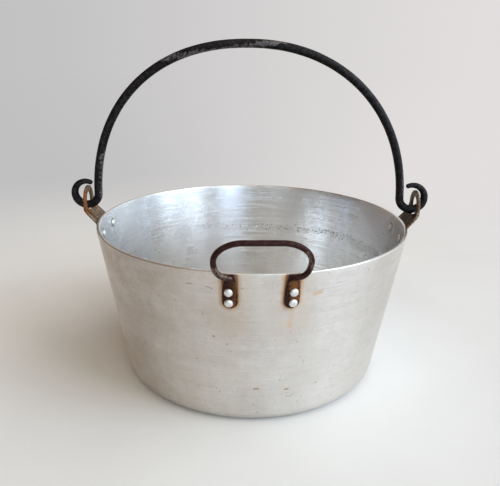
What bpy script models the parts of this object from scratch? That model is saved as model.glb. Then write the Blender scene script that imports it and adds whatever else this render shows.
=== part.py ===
"""Open aluminium preserving pan with a swinging steel bail and a riveted helper handle.

Run with: blender --background --python part.py
Metres, +Z up. The origin is the centre of the pan's base, on the surface it stands on.
-Y is the front, where the helper handle is. The bail stands upright over the X axis.
"""
import math

import bmesh
import bpy
from mathutils import Matrix, Vector, geometry

# Pan
RIM_RADIUS = 0.160
PAN_HEIGHT = 0.1569
BASE_RADIUS = 0.1349
WALL = 0.0030
CORNER_RADIUS = 0.012
RIM_EDGE = 0.0004
WALL_LEAN = math.atan((RIM_RADIUS - BASE_RADIUS) / PAN_HEIGHT)
PAN_SEGMENTS = 96
CORNER_STEPS = 5

# Gap kept between pieces that touch on the real object
GAP = 0.0003

# Edges sharper than this stay crisp when shaded
SHARP_ANGLE = math.radians(32.0)

# Bail
PIVOT_Z = 0.1690
BAIL_OFFSET = -0.0036
BAIL_HALF_SPAN = 0.1580
BAIL_SPRING_Z = 0.1724
BAIL_RISE = 0.1586
BAIL_SQUARENESS_LEFT = 2.23
BAIL_SQUARENESS_RIGHT = 2.14
ROD_RADIUS = 0.00425
ROD_TIP_RADIUS = 0.0025
HOOK_RADIUS_LEFT = 0.0123
HOOK_RADIUS_RIGHT = 0.0129
HOOK_END_ANGLE = math.radians(66.0)
ARCH_STEPS = 64
HOOK_STEPS = 22
ROD_SIDES = 12
END_BULGE = 0.8
END_RINGS = (0.55, 0.88)

# Ears
EAR_THICKNESS = 0.0023
EAR_PLANE_X_LEFT = 0.1726
EAR_PLANE_X_RIGHT = 0.1712
EAR_FOOT_Z = 0.1340
EAR_LOWER_BEND_Z = 0.1540
EAR_UPPER_BEND_Z = 0.1660
EAR_TOP_Z = 0.1893
EAR_BEND_RADIUS = 0.0030
EAR_BEND_STEPS = 4
EAR_FOOT_HALF = 0.0250
EAR_CORNER = 0.0050
EAR_NECK_HALF = 0.0192
EAR_WAIST_HALF = 0.0180
EAR_EYE_HALF = 0.0160
EYE_HALF_WIDTH = 0.0086
EYE_BOTTOM_Z = 0.1635
EYE_TOP_Z = 0.1832
EAR_RIVET_HALF_SPACING = 0.0203
EAR_RIVET_DROP = 0.0143
EAR_COLUMNS = 7
EAR_GRID = 0.0032
EAR_GRID_CLEARANCE = 0.0009
SHOULDER_STEPS = 5
EYE_STEPS = 12

# Helper handle
HELPER_TURN = math.radians(2.9)
HELPER_ROD_RADIUS = 0.0025
HELPER_ROD_SIDES = 10
HELPER_TOP = 0.0280
HELPER_TOP_HALF = 0.0150
HELPER_HALF_WIDTH = 0.0383
HELPER_WIDEST_UP = 0.0115
HELPER_LOW_HALF = 0.0290
HELPER_LOW = -0.0022
HELPER_STANDOFF = 0.0009
HELPER_UPPER_STEPS = 10
HELPER_LOWER_STEPS = 8
FOOT_HALF_SPACING = 0.0255
FOOT_THICKNESS = 0.0022
FOOT_HALF_WIDTH = 0.0062
FOOT_BOTTOM = -0.0318
FOOT_STRAIGHT = 0.0080
FOOT_SHOULDER = -0.0070
FOOT_SHOULDER_OUTER = 0.0047
FOOT_SHOULDER_INNER = 0.0051
FOOT_TOP_OUTER = (0.0025, -0.0012)
FOOT_TOP_INNER = (-0.0035, -0.0002)
FOOT_STEPS = 12
ROD_TURN_IN = (0.0010, -0.0010)
ROD_END = (-0.0006, -0.0022)
HELPER_RIVET_HALF_SPACING = 0.0263
HELPER_RIVET_UPPER = -0.0163
HELPER_RIVET_LOWER = -0.0264

# Rivets
SHANK_RADIUS = 0.0021
HEAD_RADIUS = 0.0038
HEAD_HEIGHT = 0.0023
TAIL_RADIUS = 0.0036
TAIL_HEIGHT = 0.0012
EAR_INNER_HEAD_HEIGHT = 0.0019
EAR_OUTER_HEAD_RADIUS = 0.0032
EAR_OUTER_HEAD_HEIGHT = 0.0009
RIVET_SEGMENTS = 16
DOME_STEPS = 4


def clear_scene():
    """Start from an empty scene."""
    for obj in list(bpy.data.objects):
        bpy.data.objects.remove(obj, do_unlink=True)


def make_material(name, colour, metallic, roughness):
    """One plain Principled material."""
    material = bpy.data.materials.new(name)
    material.use_nodes = True
    shader = material.node_tree.nodes["Principled BSDF"]
    shader.inputs["Base Color"].default_value = (*colour, 1.0)
    shader.inputs["Metallic"].default_value = metallic
    shader.inputs["Roughness"].default_value = roughness
    return material


def smooth(mesh):
    """Smooth shading that still breaks at real corners."""
    for polygon in mesh.polygons:
        polygon.use_smooth = True
    mesh.set_sharp_from_angle(angle=SHARP_ANGLE)


def link_mesh(name, bm, material, origin=(0.0, 0.0, 0.0)):
    """Turn a bmesh built in world space into an object whose origin is at the given point."""
    bmesh.ops.recalc_face_normals(bm, faces=bm.faces)
    bmesh.ops.translate(bm, verts=bm.verts, vec=-Vector(origin))
    mesh = bpy.data.meshes.new(name)
    bm.to_mesh(mesh)
    bm.free()
    smooth(mesh)
    mesh.materials.append(material)
    obj = bpy.data.objects.new(name, mesh)
    obj.location = origin
    bpy.context.scene.collection.objects.link(obj)
    return obj


def revolve(bm, profile, segments, frame=None):
    """Closed solid turned about local Z. The profile starts and ends on the axis."""
    frame = frame or Matrix.Identity(4)
    rings = []
    for radius, height in profile:
        if radius < 1e-7:
            rings.append([bm.verts.new(frame @ Vector((0.0, 0.0, height)))])
            continue
        ring = []
        for i in range(segments):
            turn = 2.0 * math.pi * i / segments
            point = Vector((radius * math.cos(turn), radius * math.sin(turn), height))
            ring.append(bm.verts.new(frame @ point))
        rings.append(ring)
    for lower, upper in zip(rings, rings[1:]):
        for i in range(segments):
            j = (i + 1) % segments
            if len(lower) == 1:
                bm.faces.new((lower[0], upper[i], upper[j]))
            elif len(upper) == 1:
                bm.faces.new((lower[i], lower[j], upper[0]))
            else:
                bm.faces.new((lower[i], lower[j], upper[j], upper[i]))


def arc_points(centre, radius, start, stop, steps):
    """Points on an arc in a plane, both ends included."""
    points = []
    for i in range(steps + 1):
        angle = start + (stop - start) * i / steps
        points.append((centre[0] + radius * math.cos(angle), centre[1] + radius * math.sin(angle)))
    return points


def outer_radius(height):
    """Radius of the wall's outside at a height."""
    return RIM_RADIUS - (PAN_HEIGHT - height) * math.tan(WALL_LEAN)


def wall_frame(turn, up, standoff=0.0):
    """Frame on the wall's outside: X sideways, Y up the wall, Z straight out of it.

    The turn is measured about the pan's axis from the front, and up from the rim.
    """
    ahead = Vector((math.sin(turn), -math.cos(turn), 0.0))
    side = Vector((math.cos(turn), math.sin(turn), 0.0))
    rise = ahead * math.sin(WALL_LEAN) + Vector((0.0, 0.0, math.cos(WALL_LEAN)))
    out = ahead * math.cos(WALL_LEAN) - Vector((0.0, 0.0, math.sin(WALL_LEAN)))
    place = ahead * RIM_RADIUS + Vector((0.0, 0.0, PAN_HEIGHT)) + rise * up + out * standoff
    frame = Matrix((side, rise, out)).transposed().to_4x4()
    frame.translation = place
    return frame


def pan_profile():
    """Half section of the pan, from the middle of the base round the rim to the inside."""
    lean = WALL_LEAN
    tangent_angle = -lean
    reach = CORNER_RADIUS / math.cos(lean) - CORNER_RADIUS * math.tan(lean)
    centre = (BASE_RADIUS - reach, CORNER_RADIUS)
    inner = CORNER_RADIUS - WALL
    profile = [(0.0, 0.0), (BASE_RADIUS * 0.5, 0.0)]
    profile += arc_points(centre, CORNER_RADIUS, -0.5 * math.pi, tangent_angle, CORNER_STEPS)
    middle = 0.5 * PAN_HEIGHT
    profile.append((outer_radius(middle), middle))
    profile.append((RIM_RADIUS, PAN_HEIGHT - RIM_EDGE))
    profile.append((RIM_RADIUS - RIM_EDGE, PAN_HEIGHT))
    side_wall = WALL / math.cos(lean)
    profile.append((RIM_RADIUS - side_wall + RIM_EDGE, PAN_HEIGHT))
    profile.append((RIM_RADIUS - side_wall, PAN_HEIGHT - RIM_EDGE))
    profile.append((outer_radius(middle) - side_wall, middle))
    profile += arc_points(centre, inner, tangent_angle, -0.5 * math.pi, CORNER_STEPS)
    profile += [(BASE_RADIUS * 0.5, WALL), (0.0, WALL)]
    return profile


def rivet_places():
    """Name, wall frame, thickness held, outer and inner heads as (radius, height)."""
    places = []
    ear_turn = math.asin(EAR_RIVET_HALF_SPACING / RIM_RADIUS)
    for side, middle in (("left", -0.5 * math.pi), ("right", 0.5 * math.pi)):
        for row, sign in (("front", -1.0), ("rear", 1.0)):
            lean_in = sign if side == "right" else -sign
            frame = wall_frame(middle + lean_in * ear_turn, -EAR_RIVET_DROP)
            outer = (EAR_OUTER_HEAD_RADIUS, EAR_OUTER_HEAD_HEIGHT)
            inner = (HEAD_RADIUS, EAR_INNER_HEAD_HEIGHT)
            name = f"ear_{side}_rivet_{row}"
            places.append((name, frame, EAR_THICKNESS, outer, inner))
    helper_turn = math.asin(HELPER_RIVET_HALF_SPACING / RIM_RADIUS)
    for side, sign in (("left", -1.0), ("right", 1.0)):
        for row, up in (("upper", HELPER_RIVET_UPPER), ("lower", HELPER_RIVET_LOWER)):
            frame = wall_frame(HELPER_TURN + sign * helper_turn, up)
            outer = (HEAD_RADIUS, HEAD_HEIGHT)
            inner = (TAIL_RADIUS, TAIL_HEIGHT)
            name = f"helper_handle_rivet_{side}_{row}"
            places.append((name, frame, FOOT_THICKNESS, outer, inner))
    return places


def cut_holes(obj, frames, reach):
    """Drill rivet holes along each frame's Z with an exact Boolean, then make them permanent."""
    bm = bmesh.new()
    radius = SHANK_RADIUS + GAP
    for frame in frames:
        profile = [(0.0, -reach), (radius, -reach), (radius, reach), (0.0, reach)]
        revolve(bm, profile, RIVET_SEGMENTS, frame)
    cutter = link_mesh(obj.name + "_drill", bm, obj.data.materials[0])
    cutter.hide_render = True
    cutter.display_type = "WIRE"
    drill = obj.modifiers.new("rivet holes", "BOOLEAN")
    drill.operation = "DIFFERENCE"
    drill.solver = "EXACT"
    drill.object = cutter
    settle(obj)
    bpy.data.objects.remove(cutter, do_unlink=True)


def settle(obj):
    """Replace the mesh with its evaluated shape and drop the modifiers."""
    bpy.context.view_layer.update()
    graph = bpy.context.evaluated_depsgraph_get()
    mesh = bpy.data.meshes.new_from_object(obj.evaluated_get(graph))
    mesh.name = obj.name
    smooth(mesh)
    obj.modifiers.clear()
    obj.data = mesh


def build_pan(material):
    """Drawn pan: flat base, rounded corner, leaning wall and plain cut rim, drilled for rivets."""
    bm = bmesh.new()
    revolve(bm, pan_profile(), PAN_SEGMENTS)
    pan = link_mesh("pan", bm, material)
    cut_holes(pan, [place[1] for place in rivet_places()], 3.0 * WALL)
    return pan


def build_rivet(place, material):
    """Domed head outside, shank through the wall, closed head inside."""
    name, frame, held, outer, inner = place
    head_radius, head_height = outer
    tail_radius, tail_height = inner
    head_base = 2.0 * GAP + held
    tail_base = -WALL - GAP
    profile = [(0.0, tail_base - tail_height)]
    for i in range(1, DOME_STEPS + 1):
        angle = 0.5 * math.pi * i / DOME_STEPS
        height = tail_base - tail_height * math.cos(angle)
        profile.append((tail_radius * math.sin(angle), height))
    profile.append((SHANK_RADIUS, tail_base))
    profile.append((SHANK_RADIUS, head_base))
    for i in range(DOME_STEPS):
        angle = 0.5 * math.pi * i / DOME_STEPS
        height = head_base + head_height * math.sin(angle)
        profile.append((head_radius * math.cos(angle), height))
    profile.append((0.0, head_base + head_height))
    bm = bmesh.new()
    revolve(bm, profile, RIVET_SEGMENTS, frame)
    return link_mesh(name, bm, material, frame.translation)


def hook_points(hook_radius, shank):
    """One hook from its tip to the shank, as (outward, height, rod radius)."""
    centre_x = shank + hook_radius
    centre_z = PIVOT_Z + hook_radius
    sweep = 2.0 * math.pi - HOOK_END_ANGLE
    points = []
    for i in range(HOOK_STEPS):
        share = i / HOOK_STEPS
        angle = math.pi - HOOK_END_ANGLE - sweep * share
        full = min(1.0, 2.0 * share)
        radius = ROD_TIP_RADIUS + (ROD_RADIUS - ROD_TIP_RADIUS) * full
        x = centre_x + hook_radius * math.cos(angle)
        z = centre_z + hook_radius * math.sin(angle)
        points.append((x, z, radius))
    return points


def half_bail(hook_radius, squareness):
    """One hook and the half arch above it, up to the crown, as (outward, height, rod radius)."""
    power = 2.0 / squareness
    spring = (PIVOT_Z + hook_radius - BAIL_SPRING_Z) / BAIL_RISE
    start = math.asin(spring ** (1.0 / power))
    points = hook_points(hook_radius, BAIL_HALF_SPAN * math.cos(start) ** power)
    steps = ARCH_STEPS // 2
    for i in range(steps + 1):
        angle = start + (0.5 * math.pi - start) * i / steps
        x = BAIL_HALF_SPAN * max(0.0, math.cos(angle)) ** power
        z = BAIL_SPRING_Z + BAIL_RISE * math.sin(angle) ** power
        points.append((x, z, ROD_RADIUS))
    return points


def bail_path():
    """Centreline of the bail with its rod radius: hook, arch, hook."""
    right = half_bail(HOOK_RADIUS_RIGHT, BAIL_SQUARENESS_RIGHT)
    other = half_bail(HOOK_RADIUS_LEFT, BAIL_SQUARENESS_LEFT)
    left = [(-x, z, radius) for x, z, radius in reversed(other[:-1])]
    return [(Vector((x + BAIL_OFFSET, 0.0, z)), radius) for x, z, radius in right + left]


def sweep_rod(bm, path, sides, normal):
    """Round rod along a flat path, with a radius at each station and rounded ends."""
    points = [point for point, radius in path]
    radii = [radius for point, radius in path]
    rings = []
    last = len(points) - 1
    for i, (point, radius) in enumerate(zip(points, radii)):
        ahead = points[min(i + 1, last)] - points[max(i - 1, 0)]
        ahead.normalize()
        across = normal.cross(ahead).normalized()
        ring = []
        for k in range(sides):
            turn = 2.0 * math.pi * k / sides
            offset = across * math.cos(turn) + normal * math.sin(turn)
            ring.append(bm.verts.new(point + offset * radius))
        rings.append((ring, point, ahead, radius))
    for (lower, *_), (upper, *_) in zip(rings, rings[1:]):
        for k in range(sides):
            j = (k + 1) % sides
            bm.faces.new((lower[k], lower[j], upper[j], upper[k]))
    for (ring, point, ahead, radius), sign in ((rings[0], -1.0), (rings[-1], 1.0)):
        round_end(bm, ring, point, ahead * sign, radius)


def round_end(bm, ring, centre, out, radius):
    """Dome over the open end of a rod."""
    sides = len(ring)
    previous = ring
    for share in END_RINGS:
        height = radius * END_BULGE * share
        shrink = math.sqrt(1.0 - share * share)
        dome = [bm.verts.new(centre + (vert.co - centre) * shrink + out * height) for vert in ring]
        for k in range(sides):
            j = (k + 1) % sides
            bm.faces.new((previous[k], previous[j], dome[j], dome[k]))
        previous = dome
    tip = bm.verts.new(centre + out * radius * END_BULGE)
    for k in range(sides):
        bm.faces.new((previous[k], previous[(k + 1) % sides], tip))


def build_bail(material):
    """Bent round rod, open hooks at both ends. Its origin is on the swing axis."""
    bm = bmesh.new()
    sweep_rod(bm, bail_path(), ROD_SIDES, Vector((0.0, 1.0, 0.0)))
    return link_mesh("bail", bm, material, (0.0, 0.0, PIVOT_Z))


def ear_centreline(plane_x):
    """Side view of the ear's middle surface, in (outward, height), with rounded bends."""
    middle = GAP + 0.5 * EAR_THICKNESS
    wall_offset = middle / math.cos(WALL_LEAN)
    corners = [
        Vector((outer_radius(EAR_FOOT_Z) + wall_offset, EAR_FOOT_Z)),
        Vector((outer_radius(EAR_LOWER_BEND_Z) + wall_offset, EAR_LOWER_BEND_Z)),
        Vector((plane_x, EAR_UPPER_BEND_Z)),
        Vector((plane_x, EAR_TOP_Z)),
    ]
    points = [corners[0]]
    for before, corner, after in zip(corners, corners[1:], corners[2:]):
        arriving = (corner - before).normalized()
        leaving = (after - corner).normalized()
        bend = arriving.angle(leaving)
        reach = EAR_BEND_RADIUS * math.tan(0.5 * bend)
        for i in range(EAR_BEND_STEPS + 1):
            share = i / EAR_BEND_STEPS
            first = corner - arriving * reach * (1.0 - share)
            second = corner + leaving * reach * share
            points.append(first.lerp(second, share))
    points.append(corners[-1])
    lengths = [0.0]
    for a, b in zip(points, points[1:]):
        lengths.append(lengths[-1] + (b - a).length)
    return points, lengths


def along(points, lengths, distance):
    """Point and outward normal on the side view at a distance from its foot."""
    distance = min(max(distance, 0.0), lengths[-1])
    for i in range(len(lengths) - 1):
        if distance <= lengths[i + 1] or i == len(lengths) - 2:
            share = (distance - lengths[i]) / (lengths[i + 1] - lengths[i])
            point = points[i].lerp(points[i + 1], share)
            ahead = (points[i + 1] - points[i]).normalized()
            return point, Vector((ahead.y, -ahead.x))
    return points[-1], Vector((1.0, 0.0))


def smooth_step(low, high, value):
    """0 below low, 1 above high, smooth between."""
    share = min(1.0, max(0.0, (value - low) / (high - low)))
    return share * share * (3.0 - 2.0 * share)


def distance_at(points, lengths, height):
    """Distance along the ear's side view at which it reaches a height."""
    for i in range(len(points) - 1):
        if points[i].y <= height <= points[i + 1].y:
            share = (height - points[i].y) / (points[i + 1].y - points[i].y)
            return lengths[i] + share * (lengths[i + 1] - lengths[i])
    return lengths[-1]


def ear_outline(lengths):
    """Flat pattern of the ear: riveted foot, narrower neck over the rim, round eye end."""
    eye_centre = lengths[-1] - EAR_EYE_HALF
    lower_bend = lengths[1]
    straight = EAR_FOOT_HALF - EAR_CORNER
    half = [(straight * i / EAR_COLUMNS, 0.0) for i in range(EAR_COLUMNS)]
    half += arc_points((straight, EAR_CORNER), EAR_CORNER, -0.5 * math.pi, 0.0, CORNER_STEPS - 1)
    shoulder = lower_bend - 2.0 * EAR_CORNER
    for i in range(SHOULDER_STEPS + 1):
        share = i / SHOULDER_STEPS
        distance = shoulder + (lower_bend - shoulder) * share
        narrow = smooth_step(0.0, 1.0, share)
        half.append((EAR_FOOT_HALF + (EAR_NECK_HALF - EAR_FOOT_HALF) * narrow, distance))
    half.append((EAR_WAIST_HALF, 0.5 * (lower_bend + eye_centre)))
    half += arc_points((0.0, eye_centre), EAR_EYE_HALF, 0.0, 0.5 * math.pi, EYE_STEPS - 2)
    return half + [(-x, y) for x, y in reversed(half[1:-1])]


def eye_outline(points, lengths):
    """Upright slot for the bail, round at both ends, laid out in the flat pattern."""
    radius = EYE_HALF_WIDTH
    slot = arc_points((0.0, EYE_BOTTOM_Z + radius), radius, math.pi, 2.0 * math.pi, EYE_STEPS)
    slot += arc_points((0.0, EYE_TOP_Z - radius), radius, 0.0, math.pi, EYE_STEPS)
    return [(x, distance_at(points, lengths, height)) for x, height in slot]


def ear_curve_radius():
    """Radius that the ear's foot is curved to, in its middle surface, at its rivets."""
    middle = (GAP + 0.5 * EAR_THICKNESS) * math.cos(WALL_LEAN)
    return RIM_RADIUS - EAR_RIVET_DROP * math.sin(WALL_LEAN) + middle


def ear_rivet_outlines():
    """Rivet holes in the flat pattern, one each side."""
    foot_drop = (PAN_HEIGHT - EAR_FOOT_Z) / math.cos(WALL_LEAN)
    middle = GAP + 0.5 * EAR_THICKNESS
    height = foot_drop - EAR_RIVET_DROP - middle * math.tan(WALL_LEAN)
    across = ear_curve_radius() * math.asin(EAR_RIVET_HALF_SPACING / RIM_RADIUS)
    step = 2.0 * math.pi / RIVET_SEGMENTS
    radius = SHANK_RADIUS + GAP
    holes = []
    for sign in (-1.0, 1.0):
        circle = arc_points((sign * across, height), radius, 0.0, 2.0 * math.pi - step, RIVET_SEGMENTS - 1)
        holes.append(circle)
    return holes


def inside(loop, point):
    """Even-odd test of a point against a closed loop."""
    crossing = False
    x, y = point
    for (ax, ay), (bx, by) in zip(loop, loop[1:] + loop[:1]):
        if (ay > y) != (by > y) and x < (bx - ax) * (y - ay) / (by - ay) + ax:
            crossing = not crossing
    return crossing


def ear_pattern(centreline, lengths):
    """Triangles of the flat pattern, fine enough to follow the wall and the bends."""
    outline = ear_outline(lengths)
    holes = [eye_outline(centreline, lengths)] + ear_rivet_outlines()
    points = []
    edges = []
    for loop in [outline] + holes:
        first = len(points)
        points += [Vector(point) for point in loop]
        edges += [(first + i, first + (i + 1) % len(loop)) for i in range(len(loop))]
    rows = [0.25 * lengths[1], 0.5 * lengths[1], 0.75 * lengths[1]] + lengths[1:-1]
    for row in rows:
        for i in range(-EAR_COLUMNS - 1, EAR_COLUMNS + 2):
            point = (EAR_GRID * i, row)
            clear = inside(outline, point) and not any(inside(hole, point) for hole in holes)
            near = min((Vector(point) - other).length for other in points)
            if clear and near > EAR_GRID_CLEARANCE:
                points.append(Vector(point))
    result = geometry.delaunay_2d_cdt(points, edges, [], 0, 1e-7)
    triangles = []
    for face in result[2]:
        centre = sum((result[0][i] for i in face), Vector((0.0, 0.0))) / 3.0
        if inside(outline, centre) and not any(inside(hole, centre) for hole in holes):
            triangles.append(tuple(face))
    return result[0], triangles


def build_ear(name, side, plane_x, material):
    """Pressed steel ear: foot curved to the wall, bent out over the rim, upright eye."""
    centreline, lengths = ear_centreline(plane_x)
    flat, triangles = ear_pattern(centreline, lengths)
    straighten_from = lengths[EAR_BEND_STEPS // 2 + 1]
    straighten_to = lengths[-2]
    bm = bmesh.new()
    faces = ([], [])
    for u, distance in flat:
        point, normal = along(centreline, lengths, distance)
        follow = 1.0 - smooth_step(straighten_from, straighten_to, distance)
        curve = follow / ear_curve_radius()
        turn = u * curve
        if curve > 1e-6:
            x = point.x - (1.0 - math.cos(turn)) / curve
            y = math.sin(turn) / curve
        else:
            x = point.x
            y = u
        for layer, sign in enumerate((-0.5, 0.5)):
            offset = sign * EAR_THICKNESS
            px = x + offset * normal.x * math.cos(turn)
            py = y + offset * normal.x * math.sin(turn)
            pz = point.y + offset * normal.y
            faces[layer].append(bm.verts.new((side * px, side * py, pz)))
    edge_use = {}
    for a, b, c in triangles:
        bm.faces.new((faces[0][a], faces[0][b], faces[0][c]))
        bm.faces.new((faces[1][a], faces[1][c], faces[1][b]))
        for i, j in ((a, b), (b, c), (c, a)):
            key = (min(i, j), max(i, j))
            edge_use[key] = edge_use.get(key, 0) + 1
    for (i, j), count in edge_use.items():
        if count == 1:
            bm.faces.new((faces[0][i], faces[0][j], faces[1][j], faces[1][i]))
    loose = [vert for vert in bm.verts if not vert.link_faces]
    bmesh.ops.delete(bm, geom=loose, context="VERTS")
    return link_mesh(name, bm, material)


def quarter(centre, across, rise, start, steps):
    """A quarter of an ellipse, clockwise from the start angle, without its first point."""
    points = []
    for i in range(1, steps + 1):
        angle = start - 0.5 * math.pi * i / steps
        points.append((centre[0] + across * math.cos(angle), centre[1] + rise * math.sin(angle)))
    return points


def helper_loop():
    """Half of the helper handle's centreline in its own plane, from the middle of the grip."""
    points = [(0.0, HELPER_TOP), (0.5 * HELPER_TOP_HALF, HELPER_TOP), (HELPER_TOP_HALF, HELPER_TOP)]
    upper = (HELPER_TOP_HALF, HELPER_WIDEST_UP)
    across = HELPER_HALF_WIDTH - HELPER_TOP_HALF
    points += quarter(upper, across, HELPER_TOP - HELPER_WIDEST_UP, 0.5 * math.pi, HELPER_UPPER_STEPS)
    lower = (HELPER_LOW_HALF, HELPER_WIDEST_UP)
    across = HELPER_HALF_WIDTH - HELPER_LOW_HALF
    points += quarter(lower, across, HELPER_WIDEST_UP - HELPER_LOW, 0.0, HELPER_LOWER_STEPS)
    for sideways, up in (ROD_TURN_IN, ROD_END):
        points.append((FOOT_HALF_SPACING + sideways, HELPER_LOW + up))
    return points


def foot_outline():
    """Flattened foot of the helper handle, from its own middle: leaf shape, square upper corner."""
    half = FOOT_HALF_WIDTH
    waist = FOOT_BOTTOM + half + FOOT_STRAIGHT
    points = arc_points((0.0, FOOT_BOTTOM + half), half, math.pi, 2.0 * math.pi, FOOT_STEPS)
    points.append((half, waist))
    points.append((FOOT_SHOULDER_OUTER, FOOT_SHOULDER))
    points.append(FOOT_TOP_OUTER)
    points.append(FOOT_TOP_INNER)
    points.append((-FOOT_SHOULDER_INNER, FOOT_SHOULDER))
    points.append((-half, waist))
    return points


def foot_solid(sign, material):
    """One foot as a plate lying on the wall, its square corner towards the middle."""
    foot_turn = math.asin(FOOT_HALF_SPACING / RIM_RADIUS)
    frame = wall_frame(HELPER_TURN + sign * foot_turn, 0.0, GAP)
    bm = bmesh.new()
    lower = [bm.verts.new(frame @ Vector((sign * x, y, 0.0))) for x, y in foot_outline()]
    upper = [bm.verts.new(frame @ Vector((sign * x, y, FOOT_THICKNESS))) for x, y in foot_outline()]
    bm.faces.new(lower)
    bm.faces.new(upper)
    count = len(lower)
    for i in range(count):
        j = (i + 1) % count
        bm.faces.new((lower[i], lower[j], upper[j], upper[i]))
    return link_mesh("helper_foot_blank", bm, material)


def build_helper(material):
    """Bent rod with two flattened, riveted feet, joined into one forging."""
    frame = wall_frame(HELPER_TURN, 0.0, HELPER_STANDOFF)
    half = helper_loop()
    flat = [(-x, y) for x, y in reversed(half[1:])] + half
    path = [(frame @ Vector((x, y, 0.0)), HELPER_ROD_RADIUS) for x, y in flat]
    bm = bmesh.new()
    sweep_rod(bm, path, HELPER_ROD_SIDES, frame.to_3x3() @ Vector((0.0, 0.0, 1.0)))
    handle = link_mesh("helper_handle", bm, material)
    for sign in (-1.0, 1.0):
        foot = foot_solid(sign, material)
        join = handle.modifiers.new("foot", "BOOLEAN")
        join.operation = "UNION"
        join.solver = "EXACT"
        join.object = foot
        settle(handle)
        bpy.data.objects.remove(foot, do_unlink=True)
    frames = [place[1] for place in rivet_places() if place[0].startswith("helper")]
    cut_holes(handle, frames, 3.0 * WALL)
    return handle


def main():
    """Build every piece."""
    clear_scene()
    aluminium = make_material("aluminium", (0.62, 0.60, 0.57), 1.0, 0.38)
    rivet_metal = make_material("aluminium_rivet", (0.80, 0.80, 0.79), 1.0, 0.25)
    bail_steel = make_material("bail_steel", (0.035, 0.032, 0.033), 0.6, 0.45)
    helper_steel = make_material("helper_steel", (0.055, 0.030, 0.026), 0.6, 0.42)
    ear_steel = make_material("ear_steel", (0.23, 0.17, 0.11), 0.7, 0.60)
    build_pan(aluminium)
    build_bail(bail_steel)
    build_ear("ear_left", -1.0, EAR_PLANE_X_LEFT, ear_steel)
    build_ear("ear_right", 1.0, EAR_PLANE_X_RIGHT, ear_steel)
    build_helper(helper_steel)
    for place in rivet_places():
        build_rivet(place, rivet_metal)


main()
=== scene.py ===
"""Looks of an old aluminium preserving pan with an iron bail and a riveted helper handle."""
import math

import bmesh
import bpy
from mathutils import Matrix, Vector


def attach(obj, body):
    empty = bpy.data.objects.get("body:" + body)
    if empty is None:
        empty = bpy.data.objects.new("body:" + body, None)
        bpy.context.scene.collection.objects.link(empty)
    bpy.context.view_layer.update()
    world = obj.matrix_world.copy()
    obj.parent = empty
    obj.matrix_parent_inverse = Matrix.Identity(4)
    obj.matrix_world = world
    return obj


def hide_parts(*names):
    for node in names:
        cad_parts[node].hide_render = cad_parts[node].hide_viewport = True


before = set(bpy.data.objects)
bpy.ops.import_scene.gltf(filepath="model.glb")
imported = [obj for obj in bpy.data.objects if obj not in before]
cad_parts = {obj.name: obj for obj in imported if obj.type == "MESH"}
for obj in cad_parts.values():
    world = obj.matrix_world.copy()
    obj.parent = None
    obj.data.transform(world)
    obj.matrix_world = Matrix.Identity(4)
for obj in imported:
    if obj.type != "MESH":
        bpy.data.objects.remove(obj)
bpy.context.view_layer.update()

# Pan, in metres
RIM_RADIUS = 0.160
PAN_HEIGHT = 0.1569
BASE_RADIUS = 0.1349
WALL = 0.0030
CORNER_RADIUS = 0.012
LIP_RADIUS = 0.0009
WALL_LEAN = math.atan((RIM_RADIUS - BASE_RADIUS) / PAN_HEIGHT)
PAN_SEGMENTS = 192
WALL_ROWS = 26
BASE_ROWS = 16
CORNER_ROWS = 8
LIP_ROWS = 5

# Gap kept between pieces that touch
GAP = 0.0003

# Bail
PIVOT_Z = 0.1690
BAIL_OFFSET = -0.0036
BAIL_HALF_SPAN = 0.1580
BAIL_SPRING_Z = 0.1724
BAIL_RISE = 0.1586
BAIL_SQUARENESS_LEFT = 2.23
BAIL_SQUARENESS_RIGHT = 2.14
ROD_RADIUS = 0.00425
ROD_TIP_RADIUS = 0.0025
HOOK_RADIUS_LEFT = 0.0123
HOOK_RADIUS_RIGHT = 0.0129
HOOK_END_ANGLE = math.radians(66.0)
ARCH_STATIONS = 90
HOOK_STATIONS = 54
DOME_STATIONS = 6
END_BULGE = 0.8

# Helper handle
HELPER_TURN = math.radians(2.9)
HELPER_ROD_RADIUS = 0.0025
HELPER_TOP = 0.0280
HELPER_TOP_HALF = 0.0150
HELPER_HALF_WIDTH = 0.0383
HELPER_WIDEST_UP = 0.0115
HELPER_LOW_HALF = 0.0290
HELPER_LOW = -0.0022
HELPER_STANDOFF = 0.0009
FOOT_HALF_SPACING = 0.0255
FOOT_THICKNESS = 0.0022
FOOT_HALF_WIDTH = 0.0062
FOOT_BOTTOM = -0.0318
FOOT_STRAIGHT = 0.0080
FOOT_SHOULDER = -0.0070
FOOT_SHOULDER_OUTER = 0.0047
FOOT_SHOULDER_INNER = 0.0051
FOOT_TOP_OUTER = (0.0025, -0.0012)
FOOT_TOP_INNER = (-0.0035, -0.0002)
ROD_TURN_IN = (0.0010, -0.0010)
ROD_END = (-0.0006, -0.0022)

# Ears
EAR_THICKNESS = 0.0023
EAR_RIVET_HALF_SPACING = 0.0203
EAR_RIVET_DROP = 0.0143

# Rivets
HELPER_RIVET_HALF_SPACING = 0.0263
HELPER_RIVET_UPPER = -0.0163
HELPER_RIVET_LOWER = -0.0264
SHANK_RADIUS = 0.0021
HEAD_RADIUS = 0.0038
HEAD_HEIGHT = 0.0023
TAIL_RADIUS = 0.0036
TAIL_HEIGHT = 0.0012
EAR_INNER_HEAD_HEIGHT = 0.0019
EAR_OUTER_HEAD_RADIUS = 0.0032
EAR_OUTER_HEAD_HEIGHT = 0.0009


# Stage, in metres and radians
FLOOR_RADIUS = 9.0
FLOOR_Z = -0.0004
CAMERA_PLACE = (-0.0017216, -0.5528104, 0.3160545)
CAMERA_PITCH = 0.3272183971600109
CAMERA_ROLL = 0.01604768250562051
CAMERA_LENS = 38.88
LAMP_TARGET = (0.0, 0.0, 0.1)

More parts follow.
